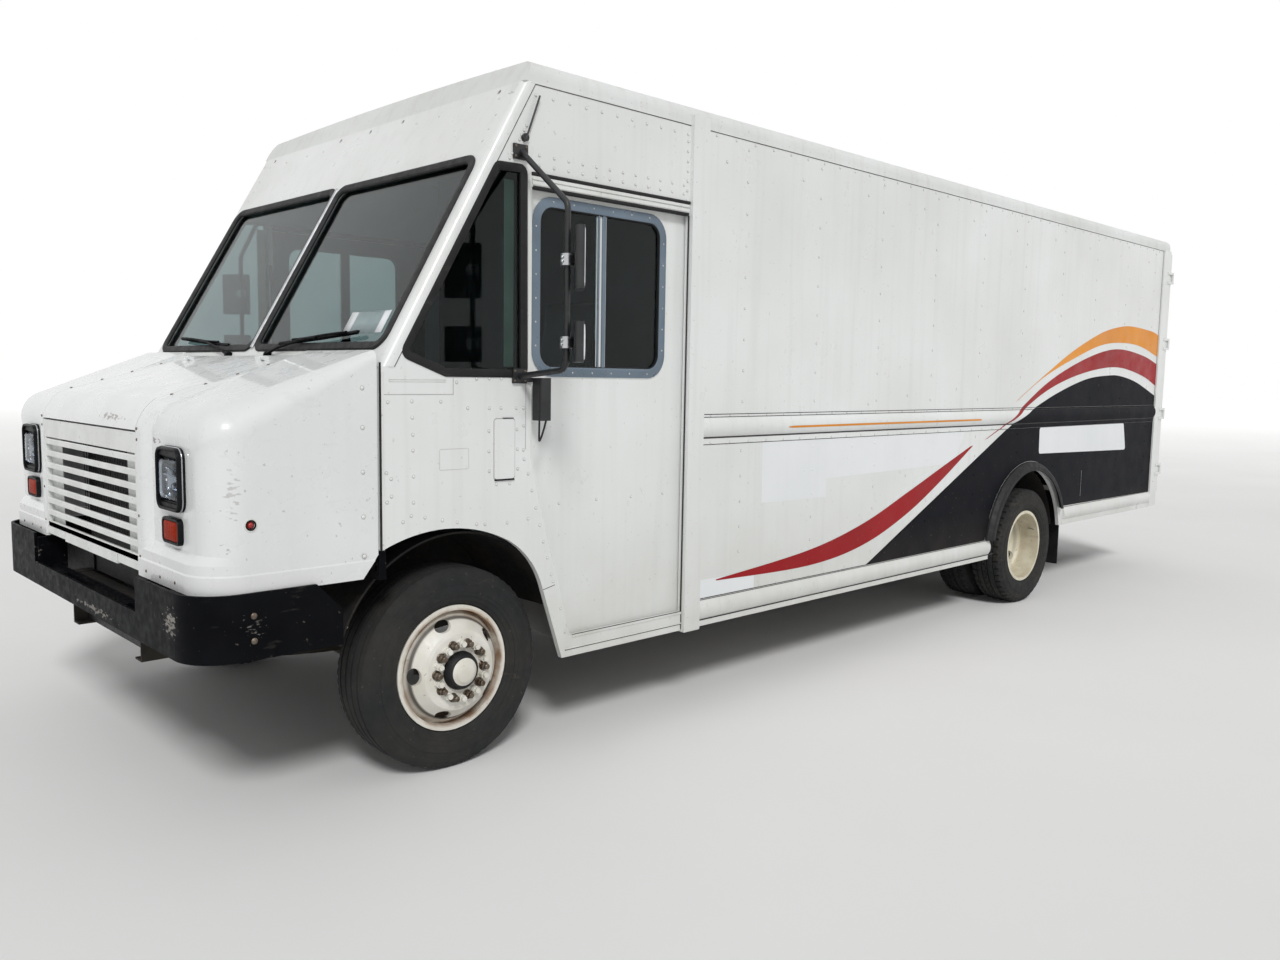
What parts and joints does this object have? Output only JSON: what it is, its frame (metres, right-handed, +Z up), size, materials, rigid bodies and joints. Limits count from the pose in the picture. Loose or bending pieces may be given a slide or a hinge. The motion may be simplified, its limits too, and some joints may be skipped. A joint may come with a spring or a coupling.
{
  "type": "walk-in delivery truck",
  "caption": "Bonneted walk-in delivery truck with sliding cab doors, swing rear doors, twin rear wheels and a worn striped body.",
  "frame": {"origin": "on the ground, midway between the bumper and the rear doors, on the centre line", "axes": "+Y towards the rear, +X towards the truck's left side, +Z up"},
  "size_m": [3.2616, 8.619, 2.905],
  "materials": {
    "body_white": "satin",
    "roof_white": "satin",
    "chassis_black": "matte",
    "bumper_black": "satin",
    "wheel_paint": "satin",
    "tyre_rubber": "matte",
    "trim_rubber": "matte",
    "engine_iron": "matte",
    "core_aluminium": "satin",
    "exhaust_steel": "satin",
    "lamp_clear": "gloss",
    "lamp_amber": "gloss",
    "window_glass": "gloss",
    "floor_plate": "satin",
    "dash_plastic": "matte",
    "seat_vinyl": "satin",
    "mirror_metal": "satin"
  },
  "bodies": {
    "chassis": {"chassis_frame": "chassis_black", "front_axle": "chassis_black", "rear_axle": "chassis_black", "engine_block": "engine_iron", "radiator": "core_aluminium", "propeller_shaft": "chassis_black", "fuel_tank": "core_aluminium", "exhaust": "exhaust_steel", "front_bumper": "bumper_black", "nose_shell": "body_white", "grille": "body_white", "headlamps": "lamp_clear", "signal_lamps": "lamp_amber", "cab_front": "body_white", "cab_glass": "window_glass", "cab_side_left": "body_white", "cab_side_right": "body_white", "cargo_side_left": "body_white", "cargo_side_right": "body_white", "wheel_flares": "trim_rubber", "roof": "roof_white", "rear_frame": "body_white", "floor": "floor_plate", "wheel_houses": "chassis_black", "step_wells": "floor_plate", "bulkhead": "floor_plate", "dashboard": "dash_plastic", "seat_pedestal": "chassis_black", "seat_cushions": "seat_vinyl", "mirrors": "mirror_metal", "wipers": "bumper_black", "mud_flaps": "trim_rubber", "rear_bumper": "bumper_black"},
    "knuckle_left": {"knuckle_left": "chassis_black"},
    "knuckle_right": {"knuckle_right": "chassis_black"},
    "tie_rod": {"tie_rod": "chassis_black"},
    "wheel_front_left": {"wheel_front_left": "wheel_paint", "tyre_front_left": "tyre_rubber"},
    "wheel_front_right": {"wheel_front_right": "wheel_paint", "tyre_front_right": "tyre_rubber"},
    "wheel_rear_left": {"wheel_rear_left": "wheel_paint", "tyre_rear_left": "tyre_rubber"},
    "wheel_rear_right": {"wheel_rear_right": "wheel_paint", "tyre_rear_right": "tyre_rubber"},
    "cab_door_left": {"cab_door_left": "body_white", "door_glass_left": "window_glass"},
    "cab_door_right": {"cab_door_right": "body_white", "door_glass_right": "window_glass"},
    "rear_door_left": {"rear_door_left": "body_white"},
    "rear_door_right": {"rear_door_right": "body_white"},
    "hood": {"hood_lid": "body_white"}
  },
  "joints": [
    {"name": "steer_left", "type": "hinge", "parent": "chassis", "child": "knuckle_left", "pos_m": [0.87, -3.233, 0.419], "axis": [0, 0, 1], "range_deg": [-32, 32]},
    {"name": "steer_right", "type": "hinge", "parent": "chassis", "child": "knuckle_right", "pos_m": [-0.87, -3.233, 0.419], "axis": [0, 0, 1], "range_deg": [-32, 32]},
    {"name": "tie_rod_swing", "type": "hinge", "parent": "knuckle_left", "child": "tie_rod", "pos_m": [0.87, -3.053, 0.3], "axis": [0, 0, 1], "range_deg": [-32, 32]},
    {"name": "spin_front_left", "type": "hinge", "parent": "knuckle_left", "child": "wheel_front_left", "pos_m": [1.005, -3.233, 0.419], "axis": [1, 0, 0], "continuous": true},
    {"name": "spin_front_right", "type": "hinge", "parent": "knuckle_right", "child": "wheel_front_right", "pos_m": [-1.005, -3.233, 0.419], "axis": [1, 0, 0], "continuous": true},
    {"name": "spin_rear_left", "type": "hinge", "parent": "chassis", "child": "wheel_rear_left", "pos_m": [0.939, 1.713, 0.419], "axis": [1, 0, 0], "continuous": true},
    {"name": "spin_rear_right", "type": "hinge", "parent": "chassis", "child": "wheel_rear_right", "pos_m": [-0.939, 1.713, 0.419], "axis": [1, 0, 0], "continuous": true},
    {"name": "slide_door_left", "type": "slide", "parent": "chassis", "child": "cab_door_left", "axis": [0, 1, 0], "range_m": [0, 0.92]},
    {"name": "slide_door_right", "type": "slide", "parent": "chassis", "child": "cab_door_right", "axis": [0, 1, 0], "range_m": [0, 0.92]},
    {"name": "rear_door_left_swing", "type": "hinge", "parent": "chassis", "child": "rear_door_left", "pos_m": [1.2105, 4.3, 1.7], "axis": [0, 0, -1], "range_deg": [0, 250]},
    {"name": "rear_door_right_swing", "type": "hinge", "parent": "chassis", "child": "rear_door_right", "pos_m": [-1.2105, 4.3, 1.7], "axis": [0, 0, 1], "range_deg": [0, 250]},
    {"name": "hood_lift", "type": "hinge", "parent": "chassis", "child": "hood", "pos_m": [0, -3.7025, 1.6698], "axis": [-1, 0, 0], "range_deg": [0, 60]}
  ],
  "couplings": [
    {"joint": "steer_right", "follows": "steer_left", "ratio": 1},
    {"joint": "tie_rod_swing", "follows": "steer_left", "ratio": -1}
  ]
}
